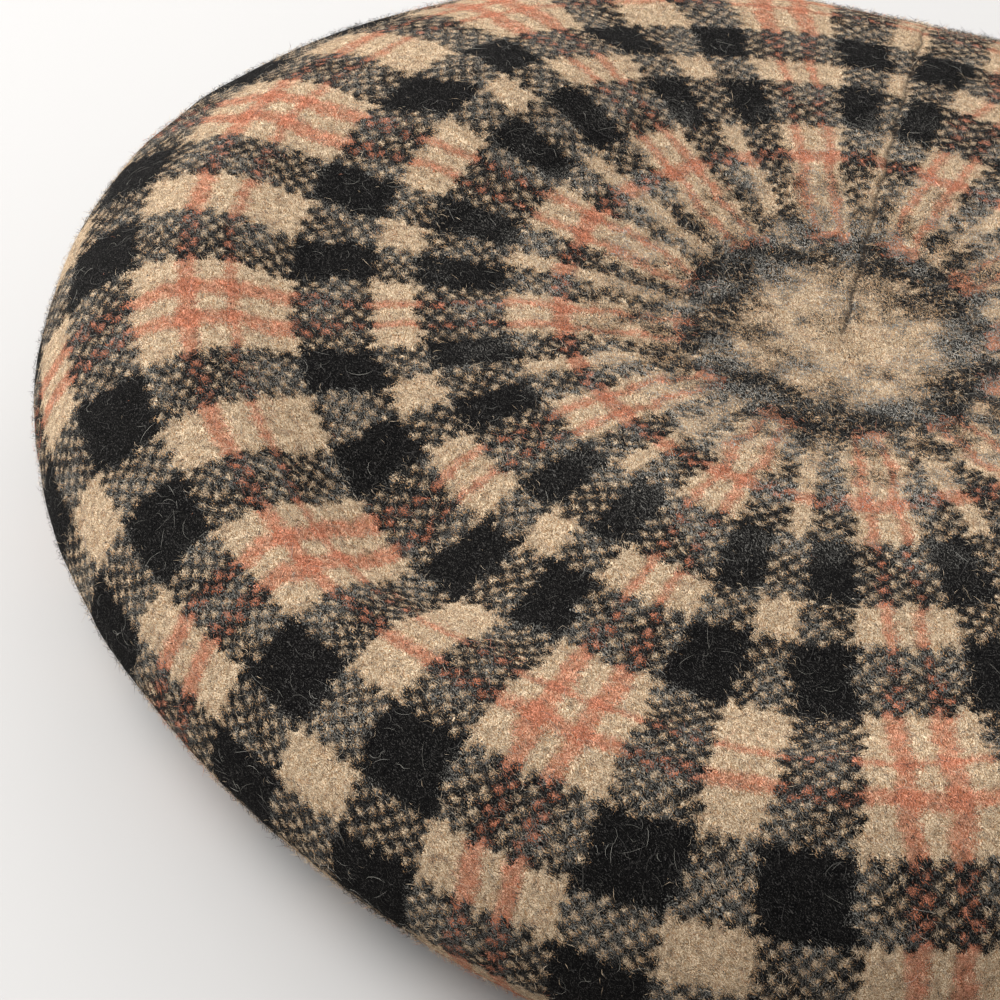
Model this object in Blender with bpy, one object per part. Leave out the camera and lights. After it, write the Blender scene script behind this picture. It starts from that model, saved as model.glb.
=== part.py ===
"""Tam o shanter: one hollow piece of felted knit, lying crown up on its underside.

The cap is a wall of even thickness. Its half section runs along the outer face from the middle of
the crown to the head opening, round the hem, and back along the inner face. It is turned about +Z,
and the crown's soft folds then lift or lower both faces together.
Metres, +Z up. The origin is on the resting surface, under the middle of the cap.
"""

import math
from collections import namedtuple

import bmesh
import bpy
import numpy as np

# Driving dimensions
OUTER_RADIUS = 0.137  # widest place, under half way up the rim
CROWN_HEIGHT = 0.0515  # highest ring of the crown, before the folds
OPENING_RADIUS = 0.083  # head opening, 52 cm round at rest
WALL = 0.003  # felted double knit
HEM_WALL = 0.0055  # the edge is turned in, so it is two layers
HEM_DEPTH = 0.016  # from the opening to where the turned-in layer ends
HEM_FULL = 0.6  # share of that depth over which it is two whole layers
FOOT_RADIUS = 0.117  # the underside lies flat inside this radius

# How finely the surfaces are divided
ROUND_STEPS = 64
OUTER_STATIONS = 28
INNER_STATIONS = 21
FLAT_STATIONS = 4  # of either face, across the flat ring that rests
HEM_ARC_STEPS = 4
CURVE_READINGS = 40  # of the fine curve, for each station kept
POLE_MERGE = 0.00005

# The outer face from the crown to the foot, in shares of OUTER_RADIUS and CROWN_HEIGHT
Section = namedtuple("Section", "place radius height")
SECTIONS = (
    Section("crown centre", 0.000, 0.910),
    Section("edge of the middle disc", 0.180, 0.935),
    Section("highest ring", 0.342, 0.990),
    Section("flat ring", 0.526, 0.985),
    Section("ring valley", 0.690, 0.950),
    Section("ring ridge", 0.790, 0.952),
    Section("shoulder", 0.877, 0.870),
    Section("upper rim", 0.963, 0.700),
    Section("widest", 1.000, 0.400),
    Section("lower rim", 0.955, 0.178),
    Section("turn under", 0.905, 0.040),
    Section("foot", FOOT_RADIUS / OUTER_RADIUS, 0.000),
)

# Folds of the crown: where each one's middle lies, how far it reaches and how high it stands
Fold = namedtuple("Fold", "place azimuth_deg radius spread_deg width height")
FOLDS = (
    Fold("rear left swell", 142, 0.083, 24, 0.026, 0.0092),
    Fold("left ridge", 177, 0.117, 24, 0.024, 0.0068),
    Fold("left front valley", 223, 0.095, 17, 0.017, -0.0085),
    Fold("front dip", 262, 0.095, 20, 0.013, -0.0030),
    Fold("right front swell", 314, 0.104, 22, 0.030, 0.0032),
    Fold("right ridge", 2, 0.118, 24, 0.022, 0.0026),
    Fold("rear right dip", 48, 0.090, 20, 0.024, -0.0050),
    Fold("rear rim sag", 80, 0.123, 26, 0.022, -0.0075),
)
FOLD_FADE_LOW = 0.10  # shares of CROWN_HEIGHT between which a fold fades out down the rim
FOLD_FADE_HIGH = 0.72

# The outline isn't quite round: the soft rim bulges in one place and is pushed in at another
Lobe = namedtuple("Lobe", "place azimuth_deg spread_deg height")
LOBES = (
    Lobe("left rear bulge", 150, 34, 0.0062),
    Lobe("left front flat", 225, 30, -0.0070),
)
RIM_SHIFT = (-0.0003, -0.0032)  # how far the rim has sagged to one side of the crown's middle

WOOL_COLOUR = (0.50, 0.39, 0.26, 1.0)  # oatmeal ground of the check, linear


def clear_scene():
    for thing in list(bpy.data.objects):
        bpy.data.objects.remove(thing, do_unlink=True)


def smooth_step(value, low, high):
    share = np.clip((value - low) / (high - low), 0.0, 1.0)
    return share * share * (3.0 - 2.0 * share)


def smooth_curve(points, count):
    """Reads count points, evenly spaced, from a cubic curve through the points given.

    Each stretch is a Hermite cubic over the chord length, with the slope at a point taken between
    its two neighbours. The curve leaves the first point and reaches the last one level.
    """
    points = np.asarray(points, float)
    along = np.concatenate([[0.0], np.cumsum(np.linalg.norm(np.diff(points, axis=0), axis=1))])
    slope = np.empty_like(points)
    slope[1:-1] = (points[2:] - points[:-2]) / (along[2:] - along[:-2])[:, None]
    slope[0] = (1.0, 0.0)
    slope[-1] = (-1.0, 0.0)
    fine = np.linspace(0.0, along[-1], CURVE_READINGS * count)
    k = np.clip(np.searchsorted(along, fine, side="right") - 1, 0, len(points) - 2)
    length = (along[k + 1] - along[k])[:, None]
    t = (fine - along[k])[:, None] / length
    curve = (
        (2 * t**3 - 3 * t**2 + 1) * points[k]
        + (t**3 - 2 * t**2 + t) * length * slope[k]
        + (3 * t**2 - 2 * t**3) * points[k + 1]
        + (t**3 - t**2) * length * slope[k + 1]
    )
    run = np.concatenate([[0.0], np.cumsum(np.linalg.norm(np.diff(curve, axis=0), axis=1))])
    even = np.linspace(0.0, run[-1], count)
    return np.stack([np.interp(even, run, axis) for axis in curve.T], 1)


def outer_face(count):
    """Radius and height along the outer face, from the crown centre to where the hem turns up."""
    scale = (OUTER_RADIUS, CROWN_HEIGHT)
    knots = [(row.radius * scale[0], row.height * scale[1]) for row in SECTIONS]
    hem_turn = OPENING_RADIUS + HEM_WALL / 2
    flat = np.linspace(FOOT_RADIUS, hem_turn, FLAT_STATIONS + 1)[1:]
    flat = np.stack([flat, np.zeros_like(flat)], 1)
    curve = smooth_curve(knots, count - len(flat))
    curve[:, 1] = np.maximum(curve[:, 1], 0.0)
    return np.vstack([curve, flat])


def inner_face(count):
    """The outer face moved inwards by the wall, which grows to two layers over the hem."""
    outer = outer_face(count)
    step = np.gradient(outer, axis=0)
    step[0] = (1.0, 0.0)
    inward = np.stack([step[:, 1], -step[:, 0]], 1)
    inward /= np.linalg.norm(inward, axis=1, keepdims=True)
    under = outer[:, 1] < WALL
    hem_end = OPENING_RADIUS + HEM_DEPTH
    hem = smooth_step(outer[:, 0], hem_end, OPENING_RADIUS + HEM_FULL * HEM_DEPTH)
    wall = WALL + (HEM_WALL - WALL) * hem * under
    inner = outer + inward * wall[:, None]
    inner[0, 0] = 0.0
    return inner


def hem_arc():
    """The hem's rounded edge, half a circle from the outer face up to the inner one."""
    half = HEM_WALL / 2
    turn = np.linspace(-math.pi / 2, math.pi / 2, HEM_ARC_STEPS + 1)[1:-1]
    return np.stack([OPENING_RADIUS + half - half * np.cos(turn), half + half * np.sin(turn)], 1)


def fold_lift(radius, azimuth, height):
    """How far the folds lift the wall at these places: one soft bump or dent for each fold."""
    lift = np.zeros_like(radius)
    for fold in FOLDS:
        turn = azimuth - math.radians(fold.azimuth_deg)
        turn = np.arctan2(np.sin(turn), np.cos(turn))
        across = turn / math.radians(fold.spread_deg)
        outward = (radius - fold.radius) / fold.width
        lift += fold.height * np.exp(-(across**2) - outward**2)
    fade = smooth_step(height, FOLD_FADE_LOW * CROWN_HEIGHT, FOLD_FADE_HIGH * CROWN_HEIGHT)
    return lift * fade


def rim_move(radius, azimuth):
    """How far the outline's lobes and its sag move places, most at the rim: x and y."""
    grow = np.zeros_like(radius)
    for lobe in LOBES:
        turn = azimuth - math.radians(lobe.azimuth_deg)
        turn = np.arctan2(np.sin(turn), np.cos(turn))
        grow += lobe.height * np.exp(-((turn / math.radians(lobe.spread_deg)) ** 2))
    share = (radius / OUTER_RADIUS) ** 2
    grow *= share * radius / OUTER_RADIUS
    return (
        grow * np.cos(azimuth) + RIM_SHIFT[0] * share,
        grow * np.sin(azimuth) + RIM_SHIFT[1] * share,
    )


def shape_cap(places):
    """Moves turned points, as rows of x, y and z, to the cap's real form, centred on its box."""
    radius = np.hypot(places[:, 0], places[:, 1])
    azimuth = np.arctan2(places[:, 1], places[:, 0])
    move_x, move_y = rim_move(radius, azimuth)
    lift = fold_lift(radius, azimuth, places[:, 2])
    formed = places + np.stack([move_x, move_y, lift], 1)
    formed[:, :2] -= (formed[:, :2].max(0) + formed[:, :2].min(0)) / 2
    return formed


def turn_section(section):
    """Turns the half section about +Z into one closed skin and returns it as a mesh."""
    body = bmesh.new()
    ring = [body.verts.new((radius, 0.0, height)) for radius, height in section]
    edges = [body.edges.new(pair) for pair in zip(ring, ring[1:])]
    bmesh.ops.spin(
        body,
        geom=ring + edges,
        cent=(0.0, 0.0, 0.0),
        axis=(0.0, 0.0, 1.0),
        angle=2 * math.pi,
        steps=ROUND_STEPS,
        use_merge=True,
    )
    bmesh.ops.remove_doubles(body, verts=body.verts, dist=POLE_MERGE)
    bmesh.ops.recalc_face_normals(body, faces=body.faces)
    mesh = bpy.data.meshes.new("felted_cap")
    body.to_mesh(mesh)
    body.free()
    return mesh


def wool_material():
    wool = bpy.data.materials.new("felted_wool")
    wool.use_nodes = True
    shader = wool.node_tree.nodes["Principled BSDF"]
    shader.inputs["Base Color"].default_value = WOOL_COLOUR
    shader.inputs["Roughness"].default_value = 0.95
    shader.inputs["Metallic"].default_value = 0.0
    return wool


def build_cap():
    section = np.vstack([outer_face(OUTER_STATIONS), hem_arc(), inner_face(INNER_STATIONS)[::-1]])
    mesh = turn_section(section)
    places = np.empty(len(mesh.vertices) * 3)
    mesh.vertices.foreach_get("co", places)
    mesh.vertices.foreach_set("co", shape_cap(places.reshape(-1, 3)).ravel())
    mesh.update()
    mesh.shade_smooth()
    mesh.materials.append(wool_material())
    cap = bpy.data.objects.new("felted_cap", mesh)
    bpy.context.scene.collection.objects.link(cap)


clear_scene()
build_cap()
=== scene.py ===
"""Looks of the tam o shanter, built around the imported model.

The cap is one piece of felted jacquard knit: a closed skin that carries the check, and the loose
fibres that felting and brushing raise from it. Metres, +Z up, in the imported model's own frame.
"""

import math
from collections import namedtuple
from functools import partial

import bpy
import numpy as np
from mathutils import Matrix, Vector


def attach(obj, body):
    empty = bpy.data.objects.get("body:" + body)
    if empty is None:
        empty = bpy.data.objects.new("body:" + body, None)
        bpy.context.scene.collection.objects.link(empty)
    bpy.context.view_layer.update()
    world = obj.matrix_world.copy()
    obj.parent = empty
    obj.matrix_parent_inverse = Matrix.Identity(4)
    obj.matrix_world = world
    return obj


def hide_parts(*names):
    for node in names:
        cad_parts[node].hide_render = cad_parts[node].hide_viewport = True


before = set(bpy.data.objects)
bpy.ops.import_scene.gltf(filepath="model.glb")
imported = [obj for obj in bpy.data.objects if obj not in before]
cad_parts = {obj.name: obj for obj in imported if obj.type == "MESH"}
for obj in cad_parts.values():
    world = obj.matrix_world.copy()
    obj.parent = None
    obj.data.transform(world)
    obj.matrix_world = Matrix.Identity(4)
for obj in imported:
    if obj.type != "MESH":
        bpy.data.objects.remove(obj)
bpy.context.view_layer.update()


# ----------------------------------------
# The cap's form. It is knitted as one round, shrunk by felting, and laid crown up on the flat
# ring of its underside. Every part of it follows one half section, turned about the upright
# axis, which the soft folds of the crown then lift or lower.

OUTER_RADIUS = 0.137
CROWN_HEIGHT = 0.0515
OPENING_RADIUS = 0.083
WALL = 0.003
HEM_WALL = 0.0055  # turned in once, so two layers
HEM_DEPTH = 0.016
HEM_FULL = 0.6  # share of the hem's depth that is two whole layers
FOOT_RADIUS = 0.117  # the underside lies flat inside this radius
CURVE_READINGS, FLAT_READINGS = 5600, 400  # of the section's curve, and of its flat ring

Section = namedtuple("Section", "place radius height")
SECTIONS = (
    Section("crown centre", 0.000, 0.910),
    Section("edge of the middle disc", 0.180, 0.935),
    Section("highest ring", 0.342, 0.990),
    Section("flat ring", 0.526, 0.985),
    Section("ring valley", 0.690, 0.950),
    Section("ring ridge", 0.790, 0.952),
    Section("shoulder", 0.877, 0.870),
    Section("upper rim", 0.963, 0.700),
    Section("widest", 1.000, 0.400),
    Section("lower rim", 0.955, 0.178),
    Section("turn under", 0.905, 0.040),
    Section("foot", FOOT_RADIUS / OUTER_RADIUS, 0.000),
)

Fold = namedtuple("Fold", "place azimuth_deg radius spread_deg width height")
FOLDS = (
    Fold("rear left swell", 142, 0.083, 24, 0.026, 0.0092),
    Fold("left ridge", 177, 0.117, 24, 0.024, 0.0068),
    Fold("left front valley", 223, 0.095, 17, 0.017, -0.0085),
    Fold("front dip", 262, 0.095, 20, 0.013, -0.0030),
    Fold("right front swell", 314, 0.104, 22, 0.030, 0.0032),
    Fold("right ridge", 2, 0.118, 24, 0.022, 0.0026),
    Fold("rear right dip", 48, 0.090, 20, 0.024, -0.0050),
    Fold("rear rim sag", 80, 0.123, 26, 0.022, -0.0075),
)
FOLD_FADE_LOW, FOLD_FADE_HIGH = 0.10, 0.72  # of the crown's height, between which folds fade out

Lobe = namedtuple("Lobe", "place azimuth_deg spread_deg height")
LOBES = (
    Lobe("left rear bulge", 150, 34, 0.0062),
    Lobe("left front flat", 225, 30, -0.0070),
)
RIM_SHIFT = (-0.0003, -0.0032)  # how far the rim has sagged to one side of the crown's middle
CAP_CENTRE = (0.00161, 0.00269)  # the turning axis, once the cap's box is centred

# Uneven cloth, whole on the crown and gone where the cap rests
LUMP_HEIGHT = 0.00032
LUMP_WAVES = 26
LUMP_SHORTEST, LUMP_LONGEST = 0.007, 0.030
LUMP_SEED = 4
LUMPS_END, LUMPS_FULL = 0.004, 0.030  # run short of the hem's turn
REST_FADE = 0.004  # height above the floor

# The seam that closes the round, from the crown's middle to the hem: a groove in the outer face
SEAM_AZIMUTH = math.radians(84.0)
SEAM_HALF_WIDTH = 0.0006
SEAM_DEPTH = 0.00035
SEAM_START = 0.006  # run over which it begins
SEAM_SHADE_SPREAD = 0.00034  # how far the painted shade along its groove spreads
SEAM_KINK = 0.00025
KINK_LONG, KINK_SHORT = 0.0130, 0.0053  # the two waves it wanders in
KINK_PHASE, KINK_SHORT_SHARE = 1.0, 0.6

SLOPE_REACH = 0.0015  # run to either side over which the section's slope is taken


def smooth_step(value, low, high):
    """0 up to low and 1 from high, and a cubic with level ends between."""
    share = np.clip((value - low) / (high - low), 0.0, 1.0)
    return share * share * (3.0 - 2.0 * share)


def outer_section():
    """Radius, height and run of the outer face, from the crown's middle to where the hem turns.

    A Hermite cubic runs through the section's points over their chord length, level at both
    ends, and a flat stretch follows it. The run is the length along the cloth.
    """
    points = np.array([(row.radius * OUTER_RADIUS, row.height * CROWN_HEIGHT) for row in SECTIONS])
    along = np.concatenate([[0.0], np.cumsum(np.hypot(*np.diff(points, axis=0).T))])
    slope = np.empty_like(points)
    slope[1:-1] = (points[2:] - points[:-2]) / (along[2:] - along[:-2])[:, None]
    slope[0] = (1.0, 0.0)
    slope[-1] = (-1.0, 0.0)
    fine = np.linspace(0.0, along[-1], CURVE_READINGS)
    k = np.clip(np.searchsorted(along, fine, side="right") - 1, 0, len(points) - 2)
    length = (along[k + 1] - along[k])[:, None]
    t = (fine - along[k])[:, None] / length
    curve = (
        (2 * t**3 - 3 * t**2 + 1) * points[k]
        + (t**3 - 2 * t**2 + t) * length * slope[k]
        + (3 * t**2 - 2 * t**3) * points[k + 1]
        + (t**3 - t**2) * length * slope[k + 1]
    )
    curve[:, 1] = np.maximum(curve[:, 1], 0.0)
    flat_radius = np.linspace(FOOT_RADIUS, OPENING_RADIUS + HEM_WALL / 2, FLAT_READINGS)[1:]
    curve = np.vstack([curve, np.stack([flat_radius, 0.0 * flat_radius], 1)])
    run = np.concatenate([[0.0], np.cumsum(np.hypot(*np.diff(curve, axis=0).T))])
    return curve[:, 0], curve[:, 1], run


SECTION_RADIUS, SECTION_HEIGHT, SECTION_RUN = outer_section()
OUTER_RUN = SECTION_RUN[-1]


def radius_at(run):
    """Radius of the outer face at a run along the cloth."""
    return np.interp(run, SECTION_RUN, SECTION_RADIUS)


def height_at(run):
    """Height of the outer face at a run along the cloth, before the folds."""
    return np.interp(run, SECTION_RUN, SECTION_HEIGHT)


def section_at(run):
    """Radius, height and outward side of the outer face at a run along the cloth."""
    before, after = run - SLOPE_REACH, run + SLOPE_REACH
    step_r = radius_at(after) - radius_at(before)
    step_h = height_at(after) - height_at(before)
    size = np.hypot(step_r, step_h)
    return radius_at(run), height_at(run), -step_h / size, step_r / size


def turn_from(azimuth, middle):
    """The turn from a middle to an azimuth, in radians, at most half a turn either way."""
    turn = azimuth - middle
    return np.arctan2(np.sin(turn), np.cos(turn))


def between(low, high, share):
    """The value that lies at a share of the way from low to high."""
    return low + (high - low) * share


def round_place(radius, azimuth, height):
    """x, y and z of a place, or of a way, from its radius, azimuth and height."""
    return np.stack([radius * np.cos(azimuth), radius * np.sin(azimuth), height], -1)


def fold_lift(radius, azimuth, height):
    """Sum of one soft bump or dent for each fold, which fades out down the rim."""
    lift = np.zeros_like(radius)
    for fold in FOLDS:
        turn = turn_from(azimuth, math.radians(fold.azimuth_deg))
        across = turn / math.radians(fold.spread_deg)
        outward = (radius - fold.radius) / fold.width
        lift += fold.height * np.exp(-(across**2) - outward**2)
    fade = smooth_step(height, FOLD_FADE_LOW * CROWN_HEIGHT, FOLD_FADE_HIGH * CROWN_HEIGHT)
    return lift * fade


def form_cap(radius, azimuth, height, push):
    """Places on the cap: the turned section with its push, then the rim's lobes and the folds.

    Push is how far each place is moved off the turned section, as x, y and z.
    """
    places = round_place(radius, azimuth, height) + push
    flat_radius = np.hypot(places[..., 0], places[..., 1])
    turn = np.arctan2(places[..., 1], places[..., 0])
    grow = np.zeros_like(flat_radius)
    for lobe in LOBES:
        off = turn_from(turn, math.radians(lobe.azimuth_deg))
        grow += lobe.height * np.exp(-((off / math.radians(lobe.spread_deg)) ** 2))
    share = (flat_radius / OUTER_RADIUS) ** 2
    grow *= share * flat_radius / OUTER_RADIUS
    places[..., 0] += grow * np.cos(turn) + RIM_SHIFT[0] * share + CAP_CENTRE[0]
    places[..., 1] += grow * np.sin(turn) + RIM_SHIFT[1] * share + CAP_CENTRE[1]
    places[..., 2] += fold_lift(flat_radius, turn, places[..., 2])
    return places


def soft_lumps(places):
    """Uneven cloth: a sum of sine waves of random direction, each as high as it is long."""
    draw = np.random.default_rng(LUMP_SEED)
    lump = np.zeros(places.shape[:-1])
    for _ in range(LUMP_WAVES):
        direction = draw.normal(size=3)
        direction /= np.linalg.norm(direction)
        wave = LUMP_SHORTEST * (LUMP_LONGEST / LUMP_SHORTEST) ** draw.random()
        phase = draw.random() * 2 * math.pi
        lump += np.sin(places @ direction * (2 * math.pi / wave) + phase) * wave / LUMP_LONGEST
    return lump / math.sqrt(LUMP_WAVES) * LUMP_HEIGHT


def seam_kink(run):
    """How far the seam wanders to one side at a run: a long sine wave and a short one."""
    long_wave = np.sin(run * 2 * math.pi / KINK_LONG + KINK_PHASE)
    short_wave = np.sin(run * 2 * math.pi / KINK_SHORT)
    return SEAM_KINK * (long_wave + KINK_SHORT_SHARE * short_wave)


def off_seam(run, azimuth):
    """Distance along the cloth from the wandering seam."""
    return np.abs(turn_from(azimuth, SEAM_AZIMUTH) * radius_at(run) - seam_kink(run))


def outer_places(run, azimuth):
    """Places on the outer face: its lumps push it out, and the seam's groove pulls it in."""
    radius, height, side_r, side_h = section_at(run)
    smooth = round_place(radius, azimuth, height)
    above = smooth_step(run, OUTER_RUN - LUMPS_END, OUTER_RUN - LUMPS_FULL)
    off_floor = smooth_step(height, 0.0, REST_FADE)
    groove = np.exp(-((off_seam(run, azimuth) / SEAM_HALF_WIDTH) ** 2))
    groove = groove * smooth_step(run, 0.0, SEAM_START)
    push = soft_lumps(smooth) * above * off_floor - SEAM_DEPTH * groove * off_floor
    outward = round_place(side_r, azimuth, side_h)
    return form_cap(radius, azimuth, height, outward * push[..., None])


# ----------------------------------------
# The check. Two yarns at a time are knitted in, one by the column (wale) and one by the row
# (course). Where they are alike the cloth is plain; where they differ they take turns stitch by
# stitch, like a bird's eye. Twelve repeats go round, and lose stitches towards the middle.

STITCH_WIDTH = 0.00178
COURSE_HEIGHT = 0.00163
REPEATS = 12
COURSES_A_BAND = 9  # the number of stitches in a round changes this often
WALES_STEP = 4  # and by so many, which keeps the turns of the two yarns in step
STITCH_POINT = 0.45  # how far a stitch's two legs slope down to its point, in courses

OATMEAL, CORAL, BLACK = 0, 1, 2
YARN_HEX = ("EDD3B1", "E29576", "040405")

# Half of a repeat, from the middle of its pair of coral lines, in stitches at the rim
Stripe = namedtuple("Stripe", "yarn wales")
HALF_REPEAT = (
    Stripe(OATMEAL, 1.4),
    Stripe(CORAL, 1.8),
    Stripe(OATMEAL, 4.1),
    Stripe(BLACK, 8.8),
    Stripe(OATMEAL, 3.9),
)
# Stitches that the first two stripes keep, as a share of the repeat's and a fixed number; the
# stripes after them share out the rest
INNER_SHARE, INNER_FIXED = 0.03, 0.20
CORAL_SHARE, CORAL_FIXED = 0.020, 1.00
OUTER_STRIPES = HALF_REPEAT[2:]
OUTER_WALES = sum(stripe.wales for stripe in OUTER_STRIPES)
LEAST_WALES = 0.1  # that they are ever given

# Rounds of the crown, from its middle outwards, in courses
Round = namedtuple("Round", "yarn courses")
BLACK_BANDS = (
    Round(OATMEAL, 5),
    Round(BLACK, 8),
    Round(OATMEAL, 6),
    Round(BLACK, 8),
    Round(OATMEAL, 5),
)
CORAL_LINES = (Round(CORAL, 2), Round(OATMEAL, 3), Round(CORAL, 2))
ROUNDS = (
    Round(OATMEAL, 12),
    Round(BLACK, 5),
    Round(OATMEAL, 12),
    Round(CORAL, 2),
    *BLACK_BANDS,
    *CORAL_LINES,
    *BLACK_BANDS,
    *CORAL_LINES,
    Round(OATMEAL, 5),
    Round(BLACK, 8),
    Round(OATMEAL, 17),
)
MIDDLE_COURSES = 16  # the disc inside these and the ring round it have no columns of their own

ROUND_SHARE = 0.994
SEAM_STEP = 0.6


def wales_a_repeat(course):
    """Stitches in one repeat at a course: a multiple of 4, the same over a band of courses."""
    middle = (np.floor(course / COURSES_A_BAND) + 0.5) * COURSES_A_BAND * COURSE_HEIGHT
    wales = 2 * math.pi * radius_at(middle) / REPEATS / STITCH_WIDTH
    return np.maximum(WALES_STEP * np.round(wales / WALES_STEP), WALES_STEP)


def chart_place(turn, run):
    """Repeats and courses passed at a place: its turn from the seam and its run from the middle."""
    share = turn / (2 * math.pi)
    return share * REPEATS * ROUND_SHARE, run / COURSE_HEIGHT + SEAM_STEP * share


def yarn_after(stripes, passed):
    """The yarn of the stripe that a length passed falls in, and the last one's past them all."""
    yarns, lengths = np.array(stripes).T
    place = np.searchsorted(np.cumsum(lengths), passed, "right")
    return yarns[np.minimum(place, len(yarns) - 1)]


def yarn_at(wale, course, wales):
    """The yarn of each stitch: its column's where wale and course add up even, else its row's.

    A row bends down to the point of each stitch. A column's yarn comes from its distance to the
    middle of the repeat: two stripes of their own width, then the rest in its shares.
    """
    course = course + STITCH_POINT * (np.abs(2 * (wale % 1) - 1) - 0.5)
    off = np.abs((np.floor(wale) + 0.5) % wales - wales / 2)
    inner = INNER_SHARE * wales + INNER_FIXED
    coral = CORAL_SHARE * wales + CORAL_FIXED
    beyond = (off - inner - coral) / np.maximum(wales / 2 - inner - coral, LEAST_WALES)
    outer = yarn_after(OUTER_STRIPES, beyond * OUTER_WALES)
    column = np.where(off < inner, OATMEAL, np.where(beyond < 0, CORAL, outer))
    column = np.where(course < MIDDLE_COURSES, OATMEAL, column)
    turn = (np.floor(wale) + np.floor(course)) % 2
    return np.where(turn == 0, column, yarn_after(ROUNDS, course))


# ----------------------------------------
# The skin: felted double knit, 3 mm thick and two layers at the turned-in hem. One closed
# surface, crown to hem to lining side, that carries its stitches as a map of wales and courses.

SEAM_COLUMNS = 20  # of the round, in a narrow strip along the seam
SEAM_STRIP = math.radians(2.0)
OPEN_COLUMNS = 460
KINK_FADE = 8  # power of the distance from the far side, by which columns follow the seam's kink
LEAST_RADIUS = 0.01  # inside which they follow it no more closely
OUTER_COURSES = int(OUTER_RUN / COURSE_HEIGHT)
HEM_ROWS = 6
INNER_ROWS = 36
HEM_PLAIN = 0.006  # the check stops this far before the hem's edge
HEM_BEYOND = 0.6  # share of the outer run beyond which the hem lies


def skin_rows():
    """The section as rows of run, radius and height: outer face, hem's edge, then inner face.

    The inner face is the outer one moved inwards by the wall, which grows to two layers at the hem.
    """
    run = np.concatenate([np.arange(OUTER_COURSES + 1) * COURSE_HEIGHT, [OUTER_RUN]])
    half = HEM_WALL / 2
    turn = np.linspace(-math.pi / 2, math.pi / 2, HEM_ROWS + 2)[1:-1]
    hem_run = OUTER_RUN + (turn + math.pi / 2) * half
    hem_radius = OPENING_RADIUS + half - half * np.cos(turn)
    hem_height = half + half * np.sin(turn)
    inner_run = np.linspace(OUTER_RUN, 0.0, INNER_ROWS)
    radius, height, side_r, side_h = section_at(inner_run)
    side_r[-1], side_h[-1] = 0.0, 1.0
    hem = smooth_step(radius, OPENING_RADIUS + HEM_DEPTH, OPENING_RADIUS + HEM_FULL * HEM_DEPTH)
    wall = between(WALL, HEM_WALL, hem * (height < WALL))
    inner_radius = np.maximum(radius - side_r * wall, 0.0)
    inner_height = height - side_h * wall
    return run, (hem_run, hem_radius, hem_height), (inner_run, inner_radius, inner_height)


def grid_faces(rows, columns):
    """Quads between the rings of a grid, and triangles to a first and a last point at its poles."""
    corner = 1 + np.arange(rows * columns).reshape(rows, columns)
    after = np.roll(corner, -1, axis=1)
    quads = np.stack([corner[:-1], corner[1:], after[1:], after[:-1]], -1).reshape(-1, 4)
    top = np.stack([np.zeros(columns, int), corner[0], after[0]], -1)
    last = np.full(columns, rows * columns + 1)
    bottom = np.stack([corner[-1], last, after[-1]], -1)
    return top.tolist() + quads.tolist() + bottom.tolist()


def chart_corners(runs, turns, wales):
    """The chart's wale and course at each corner of each face, ring by ring.

    The wale is the share of the round times the stitches in its band of courses, so it's given
    for each face and not for each point.
    """
    a, b = turns[:-1], turns[1:]
    middle = (a + b) / 2
    corners = []
    for low, high, round_wales in zip(runs[:-1], runs[1:], wales):
        if low == 0.0:
            order = ((middle, low), (a, high), (b, high))
        elif high == 0.0:
            order = ((a, low), (middle, high), (b, low))
        else:
            order = ((a, low), (a, high), (b, high), (b, low))
        places = [chart_place(turn, np.full(len(a), run)) for turn, run in order]
        ring = np.stack([np.stack([x * round_wales, y], -1) for x, y in places], 1)
        corners.append(ring.reshape(-1, 2))
    return np.concatenate(corners)


def set_facts(mesh, facts, each):
    """Gives faces their named numbers: every value is that of so many faces in a row."""
    for name, values in facts.items():
        data = mesh.attributes.new(name, "FLOAT", "FACE").data
        data.foreach_set("value", np.repeat(values.astype(float), each))


def put(name, data):
    """An object in the scene that holds this data."""
    thing = bpy.data.objects.new(name, data)
    bpy.context.scene.collection.objects.link(thing)
    return thing


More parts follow.
